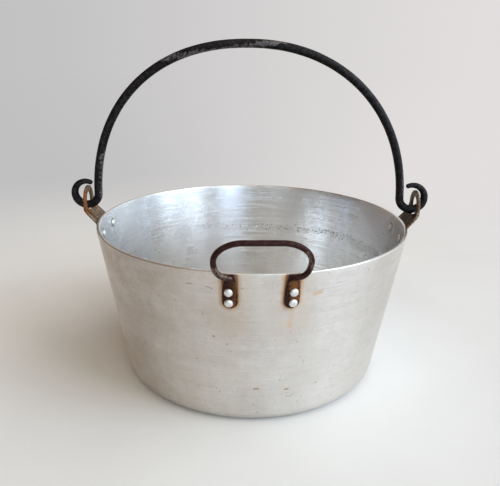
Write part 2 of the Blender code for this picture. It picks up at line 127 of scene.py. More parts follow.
# How finely the forged pieces are run together, and how often they are smoothed
HELPER_VOXEL = 0.00036
HELPER_ROUNDS = 5
EAR_VOXEL = 0.00038
EAR_ROUNDS = 4


# ---------------------------------------------------------------- wiring of node trees

def pick(sockets, key):
    """A socket by number, or the first one in use with that name."""
    if isinstance(key, int):
        return sockets[key]
    for socket in sockets:
        if socket.name == key and socket.enabled:
            return socket
    return sockets[key]


def wire(tree, source, socket):
    """Feed a socket from a node's first output, from another socket or with a plain value."""
    if isinstance(source, bpy.types.Node):
        source = source.outputs[0]
    if isinstance(source, bpy.types.NodeSocket):
        tree.links.new(source, socket)
    else:
        socket.default_value = source


def add(tree, kind, inputs=None, **settings):
    """One node with its settings and what feeds it."""
    node = tree.nodes.new(kind)
    for name, value in settings.items():
        setattr(node, name, value)
    for key, source in (inputs or {}).items():
        wire(tree, source, pick(node.inputs, key))
    return node


def calc(tree, operation, *values, clamp=False):
    """A Math node's result."""
    node = add(tree, "ShaderNodeMath", dict(enumerate(values)), operation=operation, use_clamp=clamp)
    return node.outputs[0]


def times(tree, *values, clamp=False):
    """A product."""
    return calc(tree, "MULTIPLY", *values, clamp=clamp)


def less(tree, *values, clamp=False):
    """A difference."""
    return calc(tree, "SUBTRACT", *values, clamp=clamp)


def most(tree, *values):
    """The larger of two values."""
    return calc(tree, "MAXIMUM", *values)


def scaled(tree, value, factor, start, clamp=False):
    """A value times a factor, counted from a start."""
    return calc(tree, "MULTIPLY_ADD", value, factor, start, clamp=clamp)


def vector_calc(tree, operation, *values):
    """A Vector Math node. Its value output is second."""
    return add(tree, "ShaderNodeVectorMath", dict(enumerate(values)), operation=operation)


def fade(tree, value, low, high, bottom=0.0, top=1.0):
    """Smooth step of a value from one level to another."""
    inputs = {"Value": value, "From Min": low, "From Max": high, "To Min": bottom, "To Max": top}
    return add(tree, "ShaderNodeMapRange", inputs, interpolation_type="SMOOTHSTEP").outputs[0]


def blend(tree, factor, first, second):
    """Two colours mixed, each a socket or (red, green, blue)."""
    node = add(tree, "ShaderNodeMix", data_type="RGBA")
    wire(tree, factor, node.inputs[0])
    for number, colour in ((6, first), (7, second)):
        wire(tree, (*colour, 1.0) if isinstance(colour, tuple) else colour, node.inputs[number])
    return node.outputs[2]


def tint(tree, colour, mask, share, over):
    """Another colour laid over a colour, by a share of a mask."""
    return blend(tree, times(tree, mask, share), colour, over)


def noise(tree, vector, scale, detail=3.0, roughness=0.5, distortion=0.0):
    """Value of a noise pattern, about 0.5."""
    inputs = {"Vector": vector, "Scale": scale, "Detail": detail}
    inputs.update({"Roughness": roughness, "Distortion": distortion})
    return add(tree, "ShaderNodeTexNoise", inputs).outputs[0]


def new_group(name, kind, inputs, outputs):
    """An empty node group with named inputs and outputs, and its two end nodes."""
    tree = bpy.data.node_groups.new(name, kind)
    for label, socket_kind, value in inputs:
        socket = tree.interface.new_socket(label, in_out="INPUT", socket_type="NodeSocket" + socket_kind)
        if value is not None:
            socket.default_value = value
    for label, socket_kind in outputs:
        tree.interface.new_socket(label, in_out="OUTPUT", socket_type="NodeSocket" + socket_kind)
    return tree, tree.nodes.new("NodeGroupInput").outputs, tree.nodes.new("NodeGroupOutput").inputs


# ---------------------------------------------------------------- geometry trees

def lathe_tree():
    """Turns a half section about Z. The section's points carry the number "inner"."""
    sockets = [
        ("Section", "Geometry", None),
        ("Segments", "Int", 32),
        ("Waviness", "Float", 0.0),
        ("Wave Scale", "Float", 6.0),
        ("Material", "Material", None),
    ]
    tree, given, result = new_group("lathe", "GeometryNodeTree", sockets, [("Geometry", "Geometry")])
    section = given["Section"]
    size = add(tree, "GeometryNodeAttributeDomainSize", {"Geometry": section}, component="MESH")
    rows = size.outputs["Point Count"]
    columns = calc(tree, "ADD", given["Segments"], 1.0)
    grid = add(tree, "GeometryNodeMeshGrid", {"Vertices X": columns, "Vertices Y": rows})
    index = add(tree, "GeometryNodeInputIndex")
    row = calc(tree, "MODULO", index, rows)
    column = calc(tree, "FLOOR", calc(tree, "DIVIDE", index, rows))
    turn = times(tree, calc(tree, "DIVIDE", column, given["Segments"]), 2.0 * math.pi)
    place = add(tree, "GeometryNodeInputPosition")
    point = add(tree, "GeometryNodeSampleIndex", data_type="FLOAT_VECTOR")
    wire(tree, section, pick(point.inputs, "Geometry"))
    wire(tree, place, pick(point.inputs, "Value"))
    wire(tree, row, pick(point.inputs, "Index"))
    mark = add(tree, "GeometryNodeInputNamedAttribute", {"Name": "inner"}, data_type="FLOAT")
    inner = add(tree, "GeometryNodeSampleIndex", data_type="FLOAT")
    wire(tree, section, pick(inner.inputs, "Geometry"))
    wire(tree, pick(mark.outputs, "Attribute"), pick(inner.inputs, "Value"))
    wire(tree, row, pick(inner.inputs, "Index"))
    parts = add(tree, "ShaderNodeSeparateXYZ", {0: pick(point.outputs, "Value")})
    cosine = calc(tree, "COSINE", turn)
    sine = calc(tree, "SINE", turn)
    around = add(tree, "ShaderNodeCombineXYZ", {0: cosine, 1: sine, 2: parts.outputs[2]})
    wave = less(tree, noise(tree, around, given["Wave Scale"], 1.0), 1.0)
    radius = scaled(tree, wave, given["Waviness"], parts.outputs[0])
    radius = most(tree, radius, 0.0)
    out = {0: times(tree, radius, cosine), 1: times(tree, radius, sine), 2: parts.outputs[2]}
    marked = add(tree, "GeometryNodeStoreNamedAttribute", data_type="FLOAT", domain="POINT")
    wire(tree, grid.outputs["Mesh"], marked.inputs["Geometry"])
    wire(tree, "inner", marked.inputs["Name"])
    wire(tree, pick(inner.outputs, "Value"), pick(marked.inputs, "Value"))
    spot = add(tree, "ShaderNodeCombineXYZ", out)
    turned = add(tree, "GeometryNodeSetPosition", {"Geometry": marked, "Position": spot})
    closed = add(tree, "GeometryNodeMergeByDistance", {"Geometry": turned, "Distance": 1e-6})
    finish_tree(tree, closed, given, result)
    return tree


def finish_tree(tree, geometry, given, result):
    """Smooth, real and with its material."""
    smooth = add(tree, "GeometryNodeSetShadeSmooth", {"Geometry": geometry})
    real = add(tree, "GeometryNodeRealizeInstances", {"Geometry": smooth})
    made = add(tree, "GeometryNodeSetMaterial", {"Geometry": real, "Material": given["Material"]})
    wire(tree, made, result["Geometry"])


def rod_tree():
    """Round rod along a line of points that carry the number "thickness", with a forged surface."""
    sockets = [
        ("Path", "Geometry", None),
        ("Sides", "Int", 24),
        ("Hammer Depth", "Float", 0.0001),
        ("Hammer Scale", "Float", 120.0),
        ("Material", "Material", None),
    ]
    tree, given, result = new_group("bent_rod", "GeometryNodeTree", sockets, [("Geometry", "Geometry")])
    line = add(tree, "GeometryNodeMeshToCurve", {"Mesh": given["Path"]})
    mark = add(tree, "GeometryNodeInputNamedAttribute", {"Name": "thickness"}, data_type="FLOAT")
    sized = add(tree, "GeometryNodeSetCurveRadius", {"Curve": line})
    wire(tree, pick(mark.outputs, "Attribute"), sized.inputs["Radius"])
    profile = {"Resolution": given["Sides"], "Radius": 1.0}
    circle = add(tree, "GeometryNodeCurvePrimitiveCircle", profile, mode="RADIUS")
    rod = add(tree, "GeometryNodeCurveToMesh", {"Curve": sized, "Profile Curve": circle.outputs["Curve"]})
    if "Scale" in rod.inputs:
        wire(tree, pick(mark.outputs, "Attribute"), rod.inputs["Scale"])
    closed = add(tree, "GeometryNodeMergeByDistance", {"Geometry": rod, "Distance": 1e-6})
    place = add(tree, "GeometryNodeInputPosition")
    swell = less(tree, noise(tree, place, given["Hammer Scale"], 2.0), 0.75)
    swell = times(tree, swell, given["Hammer Depth"])
    push = add(tree, "ShaderNodeVectorMath", {0: add(tree, "GeometryNodeInputNormal")}, operation="SCALE")
    wire(tree, swell, push.inputs["Scale"])
    forged = add(tree, "GeometryNodeSetPosition", {"Geometry": closed, "Offset": push})
    finish_tree(tree, forged, given, result)
    return tree


def rivet_tree():
    """Stands a rivet on each point, turned as its "turn" says, no two quite alike."""
    sockets = [
        ("Places", "Geometry", None),
        ("Rivet", "Object", None),
        ("Seed", "Int", 4),
        ("Unevenness", "Float", 0.04),
        ("Material", "Material", None),
    ]
    tree, given, result = new_group("rivet_row", "GeometryNodeTree", sockets, [("Geometry", "Geometry")])
    points = add(tree, "GeometryNodeMeshToPoints", {"Mesh": given["Places"]})
    shape = add(tree, "GeometryNodeObjectInfo", {"Object": given["Rivet"]})
    mark = add(tree, "GeometryNodeInputNamedAttribute", {"Name": "turn"}, data_type="FLOAT_VECTOR")
    turn = add(tree, "FunctionNodeEulerToRotation")
    wire(tree, pick(mark.outputs, "Attribute"), turn.inputs[0])
    size = add(tree, "FunctionNodeRandomValue", data_type="FLOAT_VECTOR")
    low = add(tree, "ShaderNodeCombineXYZ")
    small = less(tree, 1.0, given["Unevenness"])
    for axis in range(2):
        wire(tree, small, low.inputs[axis])
    wire(tree, 1.0, low.inputs[2])
    wire(tree, low, pick(size.inputs, "Min"))
    wire(tree, (1.0, 1.0, 1.0), pick(size.inputs, "Max"))
    wire(tree, given["Seed"], pick(size.inputs, "Seed"))
    row = add(tree, "GeometryNodeInstanceOnPoints", {"Points": points, "Instance": shape.outputs["Geometry"]})
    wire(tree, turn, row.inputs["Rotation"])
    wire(tree, pick(size.outputs, "Value"), row.inputs["Scale"])
    finish_tree(tree, row, given, result)
    return tree


def settle(obj):
    """Keep the evaluated shape as the object's plain mesh."""
    bpy.context.view_layer.update()
    graph = bpy.context.evaluated_depsgraph_get()
    shown = obj.evaluated_get(graph)
    mesh = bpy.data.meshes.new_from_object(shown, preserve_all_data_layers=True, depsgraph=graph)
    mesh.name = obj.name
    obj.modifiers.clear()
    obj.data = mesh
    return obj


def face_out(obj):
    """Point every face of a closed shape outwards."""
    bm = bmesh.new()
    bm.from_mesh(obj.data)
    bmesh.ops.recalc_face_normals(bm, faces=bm.faces)
    bm.to_mesh(obj.data)
    bm.free()
    for polygon in obj.data.polygons:
        polygon.use_smooth = True


def grow(obj, tree, **values):
    """Run a geometry tree on an object and keep what it makes."""
    modifier = obj.modifiers.new(tree.name, "NODES")
    modifier.node_group = tree
    for item in tree.interface.items_tree:
        label = item.name.replace(" ", "_").lower()
        if item.in_out == "INPUT" and label in values:
            modifier[item.identifier] = values[label]
    settle(obj)
    face_out(obj)
    return obj


def link_mesh(name, mesh):
    """A mesh as an object at the origin."""
    obj = bpy.data.objects.new(name, mesh)
    bpy.context.scene.collection.objects.link(obj)
    return obj


def line_object(name, points, attribute=None, values=None):
    """Points joined in a line, each with a number of its own."""
    mesh = bpy.data.meshes.new(name)
    edges = [(i, i + 1) for i in range(len(points) - 1)]
    mesh.from_pydata([tuple(point) for point in points], edges, [])
    if attribute:
        layer = mesh.attributes.new(attribute, "FLOAT", "POINT")
        layer.data.foreach_set("value", values)
    return link_mesh(name, mesh)


# ---------------------------------------------------------------- shapes

def arc_points(centre, radius, start, stop, steps):
    """Points on an arc in a plane, both ends included."""
    points = []
    for i in range(steps + 1):
        angle = start + (stop - start) * i / steps
        points.append((centre[0] + radius * math.cos(angle), centre[1] + radius * math.sin(angle)))
    return points


def wall_frame(turn, up, standoff=0.0):
    """Frame on the wall's outside: X sideways, Y up the wall, Z out of it, up from the rim."""
    ahead = Vector((math.sin(turn), -math.cos(turn), 0.0))
    side = Vector((math.cos(turn), math.sin(turn), 0.0))
    rise = ahead * math.sin(WALL_LEAN) + Vector((0.0, 0.0, math.cos(WALL_LEAN)))
    out = ahead * math.cos(WALL_LEAN) - Vector((0.0, 0.0, math.sin(WALL_LEAN)))
    place = ahead * RIM_RADIUS + Vector((0.0, 0.0, PAN_HEIGHT)) + rise * up + out * standoff
    spot = Matrix((side, rise, out)).transposed().to_4x4()
    spot.translation = place
    return spot


def steps_between(first, last, count):
    """Points on a straight line, without its ends."""
    points = []
    for i in range(1, count):
        share = i / count
        points.append((first[0] + (last[0] - first[0]) * share, first[1] + (last[1] - first[1]) * share))
    return points


def pan_section():
    """Half section from the middle of the base, up the outside, over the lip and down the inside."""
    lean = WALL_LEAN
    reach = CORNER_RADIUS / math.cos(lean) - CORNER_RADIUS * math.tan(lean)
    centre = (BASE_RADIUS - reach, CORNER_RADIUS)
    side_wall = WALL / math.cos(lean)
    lip = LIP_RADIUS
    outside = arc_points(centre, CORNER_RADIUS, -0.5 * math.pi, -lean, CORNER_ROWS)
    outer_lip = arc_points((RIM_RADIUS - lip, PAN_HEIGHT - lip), lip, -lean, 0.5 * math.pi, LIP_ROWS)
    inner_edge = RIM_RADIUS - side_wall + lip
    inner_lip = arc_points((inner_edge, PAN_HEIGHT - lip), lip, 0.5 * math.pi, math.pi - lean, LIP_ROWS)
    inside = arc_points(centre, CORNER_RADIUS - WALL, -lean, -0.5 * math.pi, CORNER_ROWS)
    outer = [(0.0, 0.0)] + steps_between((0.0, 0.0), outside[0], BASE_ROWS) + outside
    outer += steps_between(outside[-1], outer_lip[0], WALL_ROWS) + outer_lip
    inner = inner_lip + steps_between(inner_lip[-1], inside[0], WALL_ROWS) + inside
    inner += steps_between(inside[-1], (0.0, WALL), BASE_ROWS) + [(0.0, WALL)]
    points = [Vector((radius, 0.0, height)) for radius, height in outer + inner]
    return points, [0.0] * len(outer) + [1.0] * len(inner)


def make_pan(lathe, material):
    """The drawn pan, a little out of true as such pans are."""
    points, inner = pan_section()
    pan = line_object("pan_shell", points, "inner", inner)
    return grow(pan, lathe, segments=PAN_SEGMENTS, waviness=0.00022, wave_scale=1.6, material=material)


def with_ends(path):
    """A rod's path of (point, thickness) with a dome at each end, as points and thicknesses."""
    closed = []
    for (point, radius), (other, _) in ((path[0], path[1]), (path[-1], path[-2])):
        out = (point - other).normalized()
        dome = []
        for i in range(1, DOME_STATIONS + 1):
            share = math.sin(0.5 * math.pi * i / DOME_STATIONS)
            thickness = radius * math.sqrt(max(0.0, 1.0 - share * share))
            dome.append((point + out * radius * END_BULGE * share, thickness))
        closed.append(dome)
    return tuple(zip(*(closed[0][::-1] + path + closed[1])))


def half_bail(hook_radius, squareness):
    """Hook and half arch, up to the crown, as (outward, height, thickness)."""
    power = 2.0 / squareness
    spring = (PIVOT_Z + hook_radius - BAIL_SPRING_Z) / BAIL_RISE
    start = math.asin(spring ** (1.0 / power))
    shank = BAIL_HALF_SPAN * math.cos(start) ** power
    sweep = 2.0 * math.pi - HOOK_END_ANGLE
    points = []
    for i in range(HOOK_STATIONS):
        share = i / HOOK_STATIONS
        angle = math.pi - HOOK_END_ANGLE - sweep * share
        thickness = ROD_TIP_RADIUS + (ROD_RADIUS - ROD_TIP_RADIUS) * min(1.0, 2.0 * share)
        x = shank + hook_radius + hook_radius * math.cos(angle)
        points.append((x, PIVOT_Z + hook_radius + hook_radius * math.sin(angle), thickness))
    for i in range(ARCH_STATIONS + 1):
        angle = start + (0.5 * math.pi - start) * i / ARCH_STATIONS
        x = BAIL_HALF_SPAN * max(0.0, math.cos(angle)) ** power
        points.append((x, BAIL_SPRING_Z + BAIL_RISE * math.sin(angle) ** power, ROD_RADIUS))
    return points


def make_bail(rod, material):
    """The swinging bail: one bent rod, thinned and curled into a hook at each end."""
    right = half_bail(HOOK_RADIUS_RIGHT, BAIL_SQUARENESS_RIGHT)
    left = half_bail(HOOK_RADIUS_LEFT, BAIL_SQUARENESS_LEFT)
    left = [(-x, z, radius) for x, z, radius in reversed(left[:-1])]
    path = with_ends([(Vector((x + BAIL_OFFSET, 0.0, z)), radius) for x, z, radius in right + left])
    bail = line_object("bail_rod", path[0], "thickness", path[1])
    return grow(bail, rod, sides=28, hammer_depth=0.00032, hammer_scale=95.0, material=material)


def quarter(centre, across, rise, start, steps):
    """A quarter of an ellipse, clockwise, without its first point."""
    points = []
    for i in range(1, steps + 1):
        angle = start - 0.5 * math.pi * i / steps
        points.append((centre[0] + across * math.cos(angle), centre[1] + rise * math.sin(angle)))
    return points


def helper_path():
    """Half of the grip's centreline in its own plane."""
    points = [(HELPER_TOP_HALF * i / 8.0, HELPER_TOP) for i in range(9)]
    across, rise = HELPER_HALF_WIDTH - HELPER_TOP_HALF, HELPER_TOP - HELPER_WIDEST_UP
    points += quarter((HELPER_TOP_HALF, HELPER_WIDEST_UP), across, rise, 0.5 * math.pi, 28)
    across = HELPER_HALF_WIDTH - HELPER_LOW_HALF
    points += quarter((HELPER_LOW_HALF, HELPER_WIDEST_UP), across, HELPER_WIDEST_UP - HELPER_LOW, 0.0, 22)
    for sideways, up in (ROD_TURN_IN, ROD_END):
        points.append((FOOT_HALF_SPACING + sideways, HELPER_LOW + up))
    return points


def foot_outline():
    """Flattened foot: leaf shape with a square upper corner."""
    half = FOOT_HALF_WIDTH
    waist = FOOT_BOTTOM + half + FOOT_STRAIGHT
    points = arc_points((0.0, FOOT_BOTTOM + half), half, math.pi, 2.0 * math.pi, 28)
    points += [(half, waist), (FOOT_SHOULDER_OUTER, FOOT_SHOULDER), FOOT_TOP_OUTER, FOOT_TOP_INNER]
    points += [(-FOOT_SHOULDER_INNER, FOOT_SHOULDER), (-half, waist)]
    return points


def add_foot(bm, sign):
    """One foot lying on the wall."""
    turn = math.asin(FOOT_HALF_SPACING / RIM_RADIUS)
    spot = wall_frame(HELPER_TURN + sign * turn, 0.0, GAP)
    outline = foot_outline()
    lower = [bm.verts.new(spot @ Vector((sign * x, y, 0.0))) for x, y in outline]
    upper = [bm.verts.new(spot @ Vector((sign * x, y, FOOT_THICKNESS))) for x, y in outline]
    bm.faces.new(lower)
    bm.faces.new(upper)
    for i in range(len(lower)):
        j = (i + 1) % len(lower)
        bm.faces.new((lower[i], lower[j], upper[j], upper[i]))


def make_helper(rod, material):
    """The helper handle: a bent rod whose ends are beaten flat, run together and softened."""
    spot = wall_frame(HELPER_TURN, 0.0, HELPER_STANDOFF)
    half = helper_path()
    flat = [(-x, y) for x, y in reversed(half[1:])] + half
    path = with_ends([(spot @ Vector((x, y, 0.0)), HELPER_ROD_RADIUS) for x, y in flat])
    helper = line_object("helper_grip", path[0], "thickness", path[1])
    grow(helper, rod, sides=28, hammer_depth=0.00018, hammer_scale=150.0, material=material)
    bm = bmesh.new()
    bm.from_mesh(helper.data)
    for sign in (-1.0, 1.0):
        add_foot(bm, sign)
    bmesh.ops.recalc_face_normals(bm, faces=bm.faces)
    bm.to_mesh(helper.data)
    bm.free()
    return soften(helper, HELPER_VOXEL, HELPER_ROUNDS, material)


def soften(obj, voxel, rounds, material):
    """Run closed shapes together and round their edges."""
    remesh = obj.modifiers.new("run together", "REMESH")
    remesh.mode = "VOXEL"
    remesh.voxel_size = voxel
    remesh.use_smooth_shade = True
    relax = obj.modifiers.new("rounded edges", "SMOOTH")
    relax.factor = 0.5
    relax.iterations = rounds
    settle(obj)
    obj.data.materials.clear()
    obj.data.materials.append(material)
    face_out(obj)
    return obj


def make_ear(node, name, material):
    """A pressed ear with its sheared edges worn round."""
    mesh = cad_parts[node].data.copy()
    bm = bmesh.new()
    bm.from_mesh(mesh)
    bmesh.ops.remove_doubles(bm, verts=bm.verts, dist=1e-5)
    bmesh.ops.recalc_face_normals(bm, faces=bm.faces)
    bm.to_mesh(mesh)
    bm.free()
    return soften(link_mesh(name, mesh), EAR_VOXEL, EAR_ROUNDS, material)


def rivet_section(held, outer, inner):
    """Half section of a rivet: closed head inside the wall, shank, domed head outside."""
    head_base = 2.0 * GAP + held
    tail_base = -WALL - GAP
    points = []
    for i in range(9):
        angle = 0.5 * math.pi * i / 8.0
        points.append((inner[0] * math.sin(angle), tail_base - inner[1] * math.cos(angle)))
    points += [(SHANK_RADIUS, tail_base), (SHANK_RADIUS, head_base)]
    for i in range(9):
        angle = 0.5 * math.pi * i / 8.0
        points.append((outer[0] * math.cos(angle) ** 0.75, head_base + outer[1] * math.sin(angle)))
    return [Vector((max(0.0, radius), 0.0, height)) for radius, height in points]


def make_rivets(name, trees, places, held, outer, inner, material, seed):
    """A set of rivets, one at each place."""
    lathe, row = trees
    section = rivet_section(held, outer, inner)
    pattern = line_object(name + "_blank", section, "inner", [0.0] * len(section))
    grow(pattern, lathe, segments=32, waviness=0.00008, wave_scale=2.2, material=material)
    mesh = bpy.data.meshes.new(name)
    mesh.from_pydata([tuple(place.translation) for place in places], [], [])
    turns = mesh.attributes.new("turn", "FLOAT_VECTOR", "POINT")
    angles = []
    for place in places:
        angles += list(place.to_euler())
    turns.data.foreach_set("vector", angles)
    rivets = grow(link_mesh(name, mesh), row, rivet=pattern, seed=seed, unevenness=0.05, material=material)
    bpy.data.objects.remove(pattern, do_unlink=True)
    return rivets


def ear_rivet_frames():
    """Where the ears' four rivets stand."""
    turn = math.asin(EAR_RIVET_HALF_SPACING / RIM_RADIUS)
    frames = []
    for middle in (-0.5 * math.pi, 0.5 * math.pi):
        for sign in (-1.0, 1.0):
            frames.append(wall_frame(middle + sign * turn, -EAR_RIVET_DROP))
    return frames


def helper_rivet_frames():
    """Where the helper handle's four rivets stand."""
    turn = math.asin(HELPER_RIVET_HALF_SPACING / RIM_RADIUS)
    frames = []
    for sign in (-1.0, 1.0):
        for up in (HELPER_RIVET_UPPER, HELPER_RIVET_LOWER):
            frames.append(wall_frame(HELPER_TURN + sign * turn, up))
    return frames


# ---------------------------------------------------------------- shared finishes

def brushed_group():
    """Fine lines round the Z axis, as turning and scouring leave."""
    inputs = [("Vector", "Vector", None), ("Along", "Float", 30.0), ("Across", "Float", 2600.0)]
    outputs = [("Lines", "Float"), ("Bands", "Float")]
    tree, given, result = new_group("brushed_round", "ShaderNodeTree", inputs, outputs)
    parts = add(tree, "ShaderNodeSeparateXYZ", {0: given["Vector"]})
    x, y, z = parts.outputs
    radius = calc(tree, "SQRT", calc(tree, "ADD", times(tree, x, x), times(tree, y, y)))
    climb = calc(tree, "ADD", radius, z)
    for label, share in (("Lines", 1.0), ("Bands", 0.11)):
        along = times(tree, given["Along"], share)
        across = times(tree, given["Across"], share)
        stretched = add(tree, "ShaderNodeCombineXYZ", {
            0: times(tree, x, along),
            1: times(tree, y, along),
            2: times(tree, climb, across),
        })
        wire(tree, noise(tree, stretched, 1.0, 4.0, 0.6), result[label])
    return tree


def scratch_group():
    """Thin straight scratches lying several ways, gathered in patches."""
    inputs = [("Vector", "Vector", None), ("Scale", "Float", 60.0), ("Amount", "Float", 0.5)]
    tree, given, result = new_group("scratches", "ShaderNodeTree", inputs, [("Mask", "Float")])
    total = None
    for number, turn in enumerate(((0.3, 0.2, 0.5), (1.1, 0.4, 1.9), (0.2, 1.3, 2.8), (0.9, 2.1, 0.1))):
        stretch = (1.0, 1.0, 34.0)
        turned = add(tree, "ShaderNodeMapping", {0: given["Vector"], "Rotation": turn, "Scale": stretch})
        shifted = vector_calc(tree, "ADD", turned, (number * 3.7, number * 1.9, 0.0))
        line = noise(tree, shifted, given["Scale"], 2.0, 0.45)
        thin = fade(tree, calc(tree, "ABSOLUTE", less(tree, line, 0.5)), 0.004, 0.013, 1.0, 0.0)
        patch = noise(tree, shifted, times(tree, given["Scale"], 0.35), 1.0)
        level = less(tree, 1.0, times(tree, given["Amount"], 0.5))
        mask = times(tree, thin, fade(tree, patch, level, calc(tree, "ADD", level, 0.1)))
        total = mask if total is None else most(tree, total, mask)
    wire(tree, total, result["Mask"])
    return tree


def shaken_vector(tree, vector, noise_inputs, amount):
    """Coordinates pushed about by a noise pattern."""
    shake = add(tree, "ShaderNodeTexNoise", {"Vector": vector, **noise_inputs})
    shift = vector_calc(tree, "SUBTRACT", shake.outputs["Color"], (0.5, 0.5, 0.5))
    shift = add(tree, "ShaderNodeVectorMath", {0: shift, "Scale": amount}, operation="SCALE")
    return vector_calc(tree, "ADD", vector, shift).outputs[0]


def pit_group():
    """Small round pits of many sizes."""
    inputs = [("Vector", "Vector", None), ("Scale", "Float", 400.0), ("Cover", "Float", 0.3)]
    tree, given, result = new_group("pits", "ShaderNodeTree", inputs, [("Mask", "Float")])
    wobble = {"Scale": given["Scale"], "Detail": 2.0}
    moved = shaken_vector(tree, given["Vector"], wobble, calc(tree, "DIVIDE", 0.9, given["Scale"]))
    cells = add(tree, "ShaderNodeTexVoronoi", {"Vector": moved, "Scale": given["Scale"]})
    chance = add(tree, "ShaderNodeSeparateColor", {0: cells.outputs["Color"]})
    kept = calc(tree, "LESS_THAN", chance.outputs[0], given["Cover"])
    size = scaled(tree, chance.outputs[1], 0.30, 0.10)
    hole = fade(tree, cells.outputs["Distance"], times(tree, size, 0.55), size, 1.0, 0.0)
    wire(tree, times(tree, hole, kept), result["Mask"])
    return tree


def mark_group():
    """A soft-edged streak between two points, or a spot where they are one."""
    inputs = [
        ("Vector", "Vector", None),
        ("Start", "Vector", None),
        ("End", "Vector", None),
        ("Radius", "Float", 0.001),
        ("Softness", "Float", 0.001),
    ]
    tree, given, result = new_group("mark", "ShaderNodeTree", inputs, [("Mask", "Float")])
    run = vector_calc(tree, "SUBTRACT", given["End"], given["Start"])
    offset = vector_calc(tree, "SUBTRACT", given["Vector"], given["Start"])
    reach = vector_calc(tree, "DOT_PRODUCT", offset, run).outputs["Value"]
    length = most(tree, vector_calc(tree, "DOT_PRODUCT", run, run).outputs["Value"], 1e-10)
    share = calc(tree, "DIVIDE", reach, length, clamp=True)
    nearest = add(tree, "ShaderNodeVectorMath", {0: run, "Scale": share}, operation="SCALE")
    distance = vector_calc(tree, "DISTANCE", offset, nearest).outputs["Value"]
    edge = calc(tree, "ADD", given["Radius"], given["Softness"])
    wire(tree, fade(tree, distance, given["Radius"], edge, 1.0, 0.0), result["Mask"])
    return tree


def rust_group():
    """Rust that spreads in blotches: its colour, where it is and how it stands up."""
    inputs = [("Vector", "Vector", None), ("Scale", "Float", 180.0), ("Cover", "Float", 0.5)]
    outputs = [("Colour", "Color"), ("Mask", "Float"), ("Height", "Float")]
    tree, given, result = new_group("rust", "ShaderNodeTree", inputs, outputs)
    blotch = noise(tree, given["Vector"], given["Scale"], 6.0, 0.66, 0.2)
    level = less(tree, 0.80, times(tree, given["Cover"], 0.6))
    wire(tree, fade(tree, blotch, level, calc(tree, "ADD", level, 0.14)), result["Mask"])
    fine = noise(tree, given["Vector"], times(tree, given["Scale"], 5.0), 4.0, 0.7)
    shades = noise(tree, given["Vector"], times(tree, given["Scale"], 2.3), 5.0, 0.65)
    ramp = add(tree, "ShaderNodeValToRGB", {0: shades})
    stops = ramp.color_ramp.elements
    stops[0].position, stops[0].color = 0.32, (0.050, 0.018, 0.008, 1.0)
    stops[1].position, stops[1].color = 0.72, (0.47, 0.19, 0.055, 1.0)
    middle = stops.new(0.52)
    middle.color = (0.21, 0.075, 0.022, 1.0)
    wire(tree, ramp.outputs[0], result["Colour"])
    wire(tree, scaled(tree, blotch, 0.6, times(tree, fine, 0.4)), result["Height"])
    return tree


def wear_group():
    """Where edges and high places are rubbed."""
    inputs = [("Vector", "Vector", None), ("Scale", "Float", 140.0), ("Amount", "Float", 0.5)]
    tree, given, result = new_group("rubbed_edges", "ShaderNodeTree", inputs, [("Mask", "Float")])
    shape = add(tree, "ShaderNodeNewGeometry")
    edge = fade(tree, shape.outputs["Pointiness"], 0.505, 0.60)
    patch = noise(tree, given["Vector"], given["Scale"], 5.0, 0.6)
    level = less(tree, 0.85, times(tree, given["Amount"], 0.5))
    total = calc(tree, "ADD", times(tree, edge, 0.35), patch)
    wire(tree, fade(tree, total, level, calc(tree, "ADD", level, 0.16)), result["Mask"])
    return tree


SHARED = {
    "brushed": brushed_group(),
    "scratches": scratch_group(),
    "pits": pit_group(),
    "mark": mark_group(),
    "rust": rust_group(),
    "wear": wear_group(),
}


def shared(tree, name, vector, **inputs):
    """One of the shared finishes placed in a material."""
    node = add(tree, "ShaderNodeGroup", node_tree=SHARED[name])
    wire(tree, vector, node.inputs["Vector"])
    for label, value in inputs.items():
        wire(tree, value, node.inputs[label.replace("_", " ").title()])
    return node.outputs


def new_material(name):
    """An empty material: its tree, its Principled shader and its own place."""
    material = bpy.data.materials.new(name)
    material.use_nodes = True
    tree = material.node_tree
    place = add(tree, "ShaderNodeTexCoord").outputs["Object"]
    return material, tree, tree.nodes["Principled BSDF"], place


def bump(tree, height, distance, strength=1.0, normal=None):
    """A normal from a height."""
    inputs = {"Height": height, "Distance": distance, "Strength": strength}
    if normal is not None:
        inputs["Normal"] = normal
    return add(tree, "ShaderNodeBump", inputs).outputs[0]


# ---------------------------------------------------------------- materials

def wall_point(turn, up):
    """A point on the wall's outside."""
    return tuple(wall_frame(turn, up).translation)


def spot_mask(tree, vector, start, end, radius, softness):
    """Mask of one mark."""
    return shared(tree, "mark", vector, start=start, end=end, radius=radius, softness=softness)["Mask"]


def halo(tree, vector, places, radius, softness):
    """The strongest of several marks."""
    total = None
    for start, end in places:
        mask = spot_mask(tree, vector, start, end, radius, softness)
        total = mask if total is None else most(tree, total, mask)
    return total


def ragged(tree, vector, scale, amount):
    """Coordinates shaken so that an edge laid in them runs unevenly."""
    return shaken_vector(tree, vector, {"Scale": scale, "Detail": 4.0, "Roughness": 0.6}, amount)


def foot_lines(low, high, extra=0.0):
    """The middle lines of the helper handle's feet, between two heights."""
    lines = []
    for sign in (-1.0, 1.0):
        turn = HELPER_TURN + sign * math.asin((FOOT_HALF_SPACING + extra) / RIM_RADIUS)
        lines.append((wall_point(turn, low), wall_point(turn, high)))
    return lines


